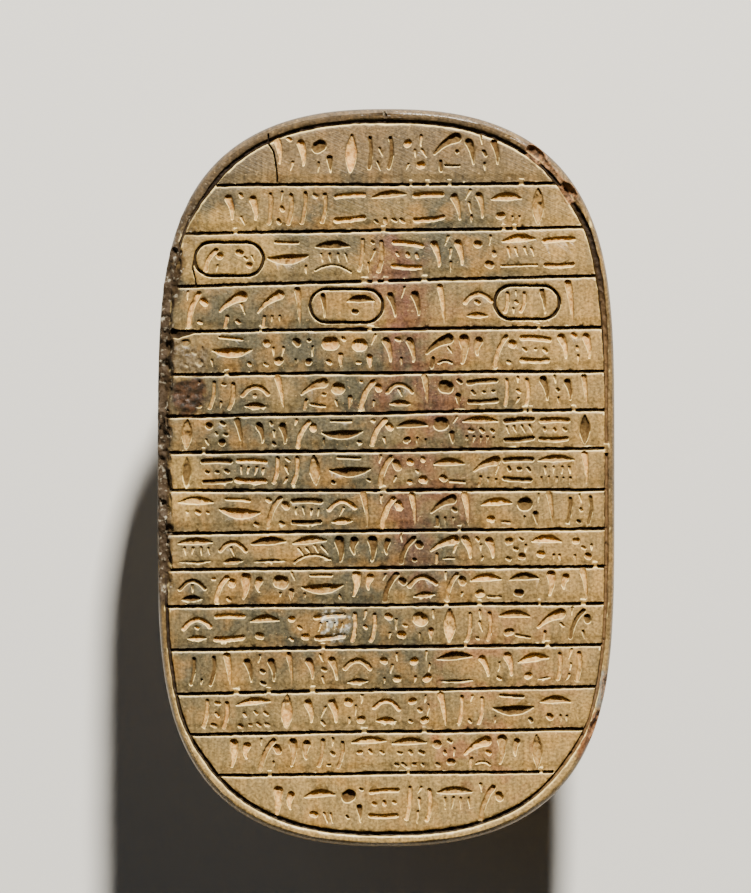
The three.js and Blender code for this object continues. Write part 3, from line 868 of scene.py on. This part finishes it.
def chipped(points):
    """The points lowered, and a little drawn in, out of every chip."""
    points = points.copy()
    rough = raggedness(points)
    inward = unit(-points * [1, 1, 0])
    for local, down, middle in in_chips(points):
        level = 1 - (np.hypot(local[:, 0], local[:, 1]) + rough) ** 2
        floor = middle - down * np.sqrt(np.clip(level, 0, 1)) + 0.12 * rough
        drop = np.where(level > 0, np.clip(points[:, 2] - floor, 0, None), 0)
        side = smooth(HEIGHT - 0.4, HEIGHT - 1.3, points[:, 2])
        points[:, 2] -= drop * (1 - 0.5 * side)
        points += inward * (0.5 * drop * side)[:, None]
    return points


def chip_cover(points):
    """How much each point lies on a chip's broken stone, from 0 to 1."""
    far = np.min([np.linalg.norm(local, axis=1) for local, _, _ in in_chips(points)], axis=0)
    return smooth(1.25, 1.0, far + raggedness(points))


def rough_rim(points):
    """How rough the lip is: the left side is broken from the head end down to below the middle."""
    x, y, z = points.T
    across = smooth(-31.6, -32.5, x + 0.4 * noise(points, 2, 24))
    corner = smooth(38, 30, y) * smooth(-19, -14, y)
    upper = smooth(33, 36, y) * smooth(44, 39, y) * smooth(-27, -29, x)
    return np.maximum(across * corner, 0.6 * upper) * smooth(HEIGHT - 3, HEIGHT - 1.8, z)


def sink(x, y):
    """How far the face inside the border has worn below the lip's crest."""
    out = np.abs(x) + (np.abs(y) / (LENGTH / 2)) ** 4 * WIDTH / 2 * 0.9
    inside = smooth(WIDTH / 2 - 0.8, WIDTH / 2 - 2.2, out)
    return inside * (0.05 + 0.03 * noise(at(x, y, 0.0), 16, 23))


def wear(mesh):
    """Knocks out the chips and roughens the broken lip."""
    points = chipped(points_of(mesh))
    rough = rough_rim(points)
    lumps = np.clip(0.5 + 0.5 * noise(points, 1.3, 25, 3), 0, 1.3)
    points[:, 2] -= rough * 0.75 * lumps
    points[:, 0] += rough * 0.25 * lumps
    set_points(mesh, points)
    return mesh


# --- Joining the two ---
def drop_stray_parts(bm):
    """Deletes what isn't joined to the face, such as a pocket left between the beetle's solids."""
    part, new = set(), {max(bm.verts, key=lambda vert: vert.co.z)}
    while new:
        part |= new
        new = {edge.other_vert(vert) for vert in new for edge in vert.link_edges} - part
    bmesh.ops.delete(bm, geom=[vert for vert in bm.verts if vert not in part], context="VERTS")


def bridge_seam(bm):
    """Closes the gap between the sheet and the body."""
    bmesh.ops.bridge_loops(bm, edges=[edge for edge in bm.edges if edge.is_boundary])
    bmesh.ops.triangulate(bm, faces=bm.faces)
    drop_stray_parts(bm)
    face_outwards(bm)


SHEET_TRIANGLES, BODY_TRIANGLES = 140000, 50000  # the face sheet's triangles and the body's; under the limit of 200,000 a piece
SHARPEST_SMOOTH = 38  # degrees; a sharper edge stays an edge


def levelled(points):
    """The points kept inside the solid's box, and level where the face isn't carved."""
    points = np.clip(points, [-WIDTH / 2, -LENGTH / 2, 0], [WIDTH / 2, LENGTH / 2, HEIGHT])
    x, y, z = points.T
    level = HEIGHT - sink(x, y)
    flat = (sampled(DEPTH + WORN, x, y) < 0.01) & (np.abs(z - level) < 0.1)
    points[flat, 2] = level[flat]
    return points


def store_marks(mesh, points):
    """Stores what the material reads: the cuts, the dust in them, the lip and the broken stone."""
    x, y, z = points.T
    on_face = smooth(HEIGHT - 1.7, HEIGHT - 1.3, z)
    pressed = read(mesh.attributes["cut"].data, "value") * (z < HEIGHT - SEAM_W)
    mesh.attributes.remove(mesh.attributes["cut"])
    store(mesh, "cut", np.where(on_face > 0, sampled(DEPTH, x, y) * on_face, pressed))
    store(mesh, "fill", sampled(FILL, x, y) * on_face)
    within = inset_of(x, y) - border_inset(y)
    store(mesh, "lip", smooth(0.35, 0, within) * smooth(HEIGHT - 3, HEIGHT - 1, z))
    store(mesh, "broken", np.maximum(chip_cover(points), rough_rim(points)))


def shaded(mesh):
    """The mesh, shaded smooth but for its sharp edges and the level face."""
    top = (HEIGHT - 0.4) * MM
    level = [face.normal.z > 0.99 and face.center.z > top for face in mesh.polygons]
    mesh.polygons.foreach_set("use_smooth", np.logical_not(level))
    mesh.set_sharp_from_angle(angle=radians(SHARPEST_SMOOTH))
    return modified(mesh, "WEIGHTED_NORMAL", keep_sharp=True, weight=50)


def make_scarab():
    cut_face()
    sheet = thinned(wear(make_sheet()), SHEET_TRIANGLES)
    body = make_body()
    carve_beetle(body)
    body = thinned(body, BODY_TRIANGLES)
    mesh = reworked([sheet, body], bridge_seam)
    points = levelled(points_of(mesh))
    store_marks(mesh, points)
    set_points(mesh, points * MM)
    mesh = shaded(mesh)
    mesh.name = "scarab_stone"
    return placed("scarab_stone", mesh)


# --- Material ---
def screen_colour(red, green, blue):
    """A colour from the shares of 255 that a screen shows."""
    return (*((v / 255) ** 2.2 for v in (red, green, blue)), 1)


class Graph:
    """A material's nodes, each made from its inputs. Places in it are in millimetres."""

    def __init__(self, name):
        self.material = bpy.data.materials.new(name)
        self.material.use_nodes = True
        self.tree = self.material.node_tree
        self.shader = self.tree.nodes["Principled BSDF"]
        place = self.put("ShaderNodeTexCoord", {}, "Object")
        self.place = self.put("ShaderNodeVectorMath", {0: place, 1: (1 / MM,) * 3}, operation="MULTIPLY")
        self.x, self.y, self.z = (self.put("ShaderNodeSeparateXYZ", {0: self.place}, k) for k in range(3))
        self.near_face = self.ramp(self.z, HEIGHT - 4, HEIGHT - 1.5)
        self.cut, self.fill, self.lip, self.broken = (
            self.put("ShaderNodeAttribute", {}, "Fac", attribute_name=mark)
            for mark in ("cut", "fill", "lip", "broken")
        )

    def put(self, kind, inputs, output=0, **settings):
        node = self.tree.nodes.new(kind)
        for name, value in settings.items():
            setattr(node, name, value)
        for socket, value in inputs.items():
            if isinstance(value, bpy.types.NodeSocket):
                self.tree.links.new(value, node.inputs[socket])
            else:
                node.inputs[socket].default_value = value
        return node.outputs[output]

    def feed(self, name, value):
        """Links a value to one of the shader's own sockets."""
        self.tree.links.new(value, self.shader.inputs[name])

    def math(self, operation, *values):
        return self.put("ShaderNodeMath", dict(enumerate(values)), operation=operation)

    def times(self, first, *others):
        for other in others:
            first = self.math("MULTIPLY", first, other)
        return first

    def ramp(self, value, low, high, to=1.0):
        """0 below low and to above high, with an even curve between."""
        inputs = {"Value": value, "From Min": low, "From Max": high, "To Max": to}
        return self.put("ShaderNodeMapRange", inputs, interpolation_type="SMOOTHSTEP")

    def noise(self, size, seed, detail, stretch=(1, 1, 1), turn=0.0):
        """Noise from 0 to 1 in lumps of about size, stretched along axes turned about Z."""
        inputs = {
            "Vector": self.place,
            "Location": (17.3 * seed, 5.1 * seed, -9.7 * seed),
            "Rotation": (0, 0, radians(turn)),
            "Scale": tuple(size * k for k in stretch),
        }
        spot = self.put("ShaderNodeMapping", inputs, vector_type="TEXTURE")
        return self.put("ShaderNodeTexNoise", {"Vector": spot, "Scale": 1.0, "Detail": detail})

    def lumps(self, size, seed, detail, low, high, to=1.0):
        """Lumps of about size: 0 where their noise is below low, and to where it is above high."""
        return self.ramp(self.noise(size, seed, detail), low, high, to)

    def patch(self, x, y, wide, tall, ragged, seed):
        """1 in a ragged patch of the face about (x, y), and 0 outside it."""
        off_x, off_y = (
            self.math("POWER", self.math("DIVIDE", self.math("SUBTRACT", place, middle), half), 2)
            for place, middle, half in ((self.x, x, wide), (self.y, y, tall))
        )
        far = self.math("SQRT", self.math("ADD", off_x, off_y))
        uneven = self.times(self.noise(min(wide, tall) * 0.7, seed, 4), 2 * ragged)
        return self.ramp(self.math("ADD", far, uneven), 1.15 + ragged, 0.7 + ragged)

    def blend(self, factor, *colours, how="MIX"):
        """Two colours blended. Each is a socket, or red, green and blue as shares of 255."""
        first, second = (screen_colour(*one) if isinstance(one, tuple) else one for one in colours)
        inputs = {0: factor, 6: first, 7: second}
        return self.put("ShaderNodeMix", inputs, 2, data_type="RGBA", blend_type=how)

    def stains(self, base, *stains):
        """Stains laid over base near the face, each as (where, colour, share)."""
        for where, tint, share in stains:
            base = self.blend(self.times(where, self.near_face, share), base, tint)
        return base


GREY, TAN, OCHRE = (111, 104, 80), (186, 153, 94), (214, 158, 78)
RED, PURPLE, ORANGE = (134, 80, 62), (124, 76, 74), (190, 118, 82)
# The first of these is a near-black painted shade for the lines and the cuts' upper walls; the second is a
# pale dust colour that is also a painted highlight on edges facing the key light.
PAINTED_SHADE, PALE_DUST_AND_HIGHLIGHT, WHITE = (26, 15, 7), (255, 226, 148), (236, 230, 218)


def bare_stone(g):
    """The stone's own colour, over the whole amulet: greyer in the middle, yellower at the foot."""
    stone = g.blend(g.lumps(11, 1, 4, 0.36, 0.66), GREY, TAN)
    middle = g.math("MAXIMUM", g.patch(-10, 9, 22, 16, 0.5, 3), g.patch(-6, -25, 14, 7, 0.5, 34))
    stone = g.blend(g.times(g.lumps(14, 2, 3, 0.25, 0.45), middle, 0.9), stone, GREY)
    stone = g.blend(g.ramp(g.y, -26, -46, 0.85), stone, (206, 170, 104))
    ochre = g.times(g.lumps(4.5, 4, 5, 0.45, 0.71), g.ramp(g.z, 0, HEIGHT, 0.62))
    return g.blend(ochre, stone, OCHRE)


def stained(g, stone):
    """Red-brown stains right of the middle and below it, a paler right side and left, a duller head."""
    left = g.math("MAXIMUM", g.patch(-30, -1, 3.2, 5.5, 0.5, 9), g.patch(-24, 34, 9, 6, 0.6, 10))
    return g.stains(
        stone,
        (g.times(g.patch(6, 8, 9, 26, 0.7, 5), g.lumps(4.5, 6, 5, 0.4, 0.6)), RED, 0.62),
        (g.times(g.patch(17, -34, 13, 14, 0.7, 7), g.lumps(4, 8, 5, 0.46, 0.62)), ORANGE, 0.6),
        (g.times(g.patch(0.5, 28, 3.5, 9, 0.7, 28), g.lumps(3, 29, 4, 0.36, 0.56)), PURPLE, 0.6),
        (g.times(g.ramp(g.x, 8, 30), g.lumps(7, 23, 3, 0.2, 0.5)), (228, 182, 106), 0.6),
        (g.ramp(g.y, 38, 50), (138, 116, 88), 0.7),
        (left, (222, 180, 102), 0.7),
    )


def stained_lip(g, stone):
    """The lip is duller, but pale at the foot, darkest at the left, and darkened outside its crest at the
    head as painted shade.
    """
    foot = g.ramp(g.y, -18, -36)
    head_end = g.math("SUBTRACT", 1.0, foot)
    places = [
        (g.times(g.lumps(6, 25, 4, 0.2, 0.6, 0.75), head_end), (114, 96, 74), 1.0),
        (foot, (216, 180, 116), 0.75),
        (g.times(g.ramp(g.x, -20, -33), head_end), (96, 80, 58), 0.5),
        # Painted shade: the lip's outer slope at the head end is darkened.
        (g.times(g.ramp(g.z, HEIGHT - 0.35, HEIGHT - 0.9), g.ramp(g.y, 30, 48)), (78, 58, 38), 0.8),
        (g.patch(32.5, -32, 2.5, 3, 0.5, 30), (196, 196, 186), 0.8),
        (g.patch(30.5, -38.5, 3, 4, 0.5, 31), (176, 112, 74), 0.85),
    ]
    return g.stains(stone, *((g.times(g.lip, where), tint, share) for where, tint, share in places))


def grained(g, stone):
    """Streaks, a fine grain, dark specks and light flecks."""
    streaks = g.ramp(g.noise(0.6, 22, 3, (1, 7, 1), 2), 0.3, 0.7)
    stone = g.blend(0.55, stone, g.blend(streaks, (130, 134, 142), (232, 226, 214)), how="MULTIPLY")
    grain = g.lumps(0.42, 12, 3, 0.25, 0.75)
    stone = g.blend(0.75, stone, g.blend(grain, (118, 118, 118), (246, 246, 246)), how="MULTIPLY")
    stone = g.blend(g.lumps(0.4, 26, 2, 0.64, 0.72, 0.4), stone, (84, 62, 40))
    return g.blend(g.lumps(0.45, 32, 2, 0.66, 0.74, 0.3), stone, (232, 190, 122))


def dusted(g, stone):
    """Dust in the cuts: pale in most of the signs, and near-black in the lines as painted shade. The cuts'
    upper walls, which face away from the key light, are darkened as painted shade, and their worn lower
    edges, which face it, are pale with dust that is also a painted highlight."""
    normal = g.put("ShaderNodeNewGeometry", {}, "Normal")
    tilt, up = (g.put("ShaderNodeSeparateXYZ", {0: normal}, k) for k in "YZ")
    # Pale edges: pale dust laid only on worn edges that face the key light, so it is also a painted
    # highlight.
    worn = g.times(g.ramp(g.cut, 0.03, 0.09), g.ramp(g.cut, 0.3, 0.16))
    worn = g.times(worn, g.ramp(tilt, 0.03, 0.22), g.ramp(up, 0.998, 0.98))
    stone = g.stains(stone, (worn, PALE_DUST_AND_HIGHLIGHT, 0.9))
    right_groove = g.times(g.ramp(g.x, 20, 26), g.ramp(g.lip, 0.1, 0.5, 0.8), g.ramp(g.y, 34, 16))
    # The lines are filled near-black as painted shade, brown in the groove along the right side.
    lines_shade_and_dust = g.blend(right_groove, PAINTED_SHADE, (106, 80, 50))
    in_signs = g.blend(g.lumps(0.45, 33, 3, 0.3, 0.68), (180, 134, 72), (240, 196, 122))
    in_signs = g.blend(g.lumps(3, 35, 3, 0.5, 0.62, 0.25), in_signs, (202, 132, 78))
    # Low fill, in the lines and some signs, takes the lines' near-black painted shade; high fill takes the
    # signs' pale dust.
    dust = g.blend(g.times(g.fill, g.lumps(0.9, 13, 3, 0.12, 0.5)), lines_shade_and_dust, in_signs)
    stone = g.blend(g.ramp(g.cut, 0.14, 0.34, 0.93), stone, dust)
    # Painted shade: the cuts' upper walls, which face away from the key light, are darkened.
    painted_shade_walls = g.times(g.ramp(tilt, -0.12, -0.5), g.ramp(g.cut, 0.03, 0.2))
    return g.stains(stone, (painted_shade_walls, PAINTED_SHADE, 0.8))


def crusted(g, stone):
    """Patches at the left that lie over the cuts too: one nearly black, one grey."""
    crust = g.blend(g.lumps(0.9, 36, 4, 0.35, 0.7), (26, 19, 13), (78, 54, 38))
    grit = g.blend(g.lumps(0.5, 37, 4, 0.4, 0.65), (60, 52, 40), (116, 103, 82))
    uncut = g.times(g.patch(-30, 18, 4.0, 2.9, 0.6, 24), g.ramp(g.cut, 0.4, 0.2))
    return g.stains(stone, (g.patch(-29.4, 12.3, 3.0, 3.0, 0.6, 11), crust, 0.95), (uncut, grit, 0.75))


def broken_stone(g, stone):
    """Rubble where the lip is broken, rustier and fainter at the right, and a whitish deposit."""
    rubble = g.blend(g.lumps(0.8, 14, 4, 0.56, 0.72), (60, 48, 34), (150, 142, 124))
    rust = g.blend(g.lumps(0.6, 27, 4, 0.4, 0.66), (70, 52, 36), (160, 116, 80))
    rubble = g.blend(g.ramp(g.x, 5, 12), rubble, rust)
    stone = g.blend(g.times(g.broken, g.ramp(g.x, 12, 5)), stone, rubble)
    stone = g.blend(g.times(g.broken, g.ramp(g.x, 5, 12, 0.72)), stone, rubble)
    deposit = g.times(g.patch(-7.3, -22, 2.4, 2.8, 0.9, 15), g.lumps(0.9, 16, 5, 0.45, 0.66))
    tint = g.blend(g.lumps(0.7, 38, 4, 0.46, 0.62), (150, 152, 142), WHITE)
    return g.stains(stone, (deposit, tint, 0.9))


def polish(g):
    """Shiniest on the rubbed lip, and dull in the cuts and on broken stone."""
    dull = g.math("MAXIMUM", g.broken, g.ramp(g.cut, 0.1, 0.3))
    rough = g.math("ADD", g.lumps(3, 17, 4, 0.3, 0.7, 0.16), 0.42)
    rough = g.math("SUBTRACT", rough, g.times(g.lip, 0.16))
    g.feed("Roughness", g.math("ADD", rough, g.times(dull, 0.35)))
    shine = g.math("ADD", 0.35, g.times(g.lip, 0.15))
    g.feed("Specular IOR Level", g.math("SUBTRACT", shine, g.times(dull, 0.25)))


def scratch(g):
    """Brushed scratches, slanting at the top and upright below, and a fine grain."""
    slanting = g.noise(0.22, 18, 2, (30, 1, 1), -25)
    straight = g.noise(0.22, 19, 2, (1, 30, 1), 3)
    height = g.put("ShaderNodeMix", {0: g.ramp(g.y, 38, 20), 2: slanting, 3: straight})
    height = g.math("ADD", height, g.times(g.noise(0.35, 20, 3), 1.1))
    height = g.math("ADD", height, g.times(g.noise(0.7, 21, 4), g.broken, 4))
    g.feed("Normal", g.put("ShaderNodeBump", {"Height": height, "Strength": 0.6, "Distance": 0.00009}))


def steatite():
    """Worn steatite: olive grey and ochre, stained red-brown, with dark and pale dust in its cuts, painted
    shade in its lines and on the cuts' upper walls, and a painted highlight on their lower edges.
    """
    g = Graph("steatite")
    stone = bare_stone(g)
    for layer in (stained, stained_lip, grained, dusted, crusted, broken_stone):
        stone = layer(g, stone)
    g.feed("Base Color", stone)
    polish(g)
    scratch(g)
    return g.material


# --- Studio ---
FLOOR_HALF = 3.0  # metres


def make_floor():
    corners = FLOOR_HALF * np.array([(-1, -1, 0), (1, -1, 0), (1, 1, 0), (-1, 1, 0)])
    mesh = mesh_of(corners, [range(4)])
    material = bpy.data.materials.new("floor")
    material.use_nodes = True
    shader = material.node_tree.nodes["Principled BSDF"]
    shader.inputs["Base Color"].default_value = (0.72, 0.72, 0.71, 1)
    shader.inputs["Roughness"].default_value = 0.9
    mesh.materials.append(material)
    floor = placed("floor", mesh)


def make_light(name, place, size, power, tint):
    """A square lamp that shines at the origin."""
    lamp = bpy.data.lights.new(name, "AREA")
    lamp.size = size
    lamp.energy = power
    lamp.color = tint
    light = placed(name, lamp)
    light.location = place
    light.rotation_euler = (-Vector(place)).to_track_quat("-Z", "Y").to_euler()


CAMERA_HEIGHT = 1.2
LENGTH_SHARE = 0.8265  # of the picture's height, taken by the amulet's length
VIEW_ASIDE = -1.57  # how far the picture's middle is from the amulet's, in millimetres
VIEW_DOWN = 4.64


def make_camera():
    """Straight above the face, and far enough off that perspective hardly shows."""
    lens = bpy.data.cameras.new("camera")
    lens.sensor_fit = "VERTICAL"
    lens.sensor_height = 24
    lens.lens = lens.sensor_height * (CAMERA_HEIGHT - HEIGHT * MM) * LENGTH_SHARE / (LENGTH * MM)
    camera = placed("camera", lens)
    camera.location = (VIEW_ASIDE * MM, VIEW_DOWN * MM, CAMERA_HEIGHT)
    bpy.context.scene.camera = camera


piece = make_scarab()
piece.data.materials.append(steatite())
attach(piece, "root")
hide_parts("scarab")
make_floor()
make_light("key", (0.21, 1.14, 0.945), 0.12, 81, (1.0, 0.94, 0.83))
make_light("fill", (-0.7, 0.1, 0.5), 1.0, 0.8, (0.94, 0.97, 1.0))
make_camera()
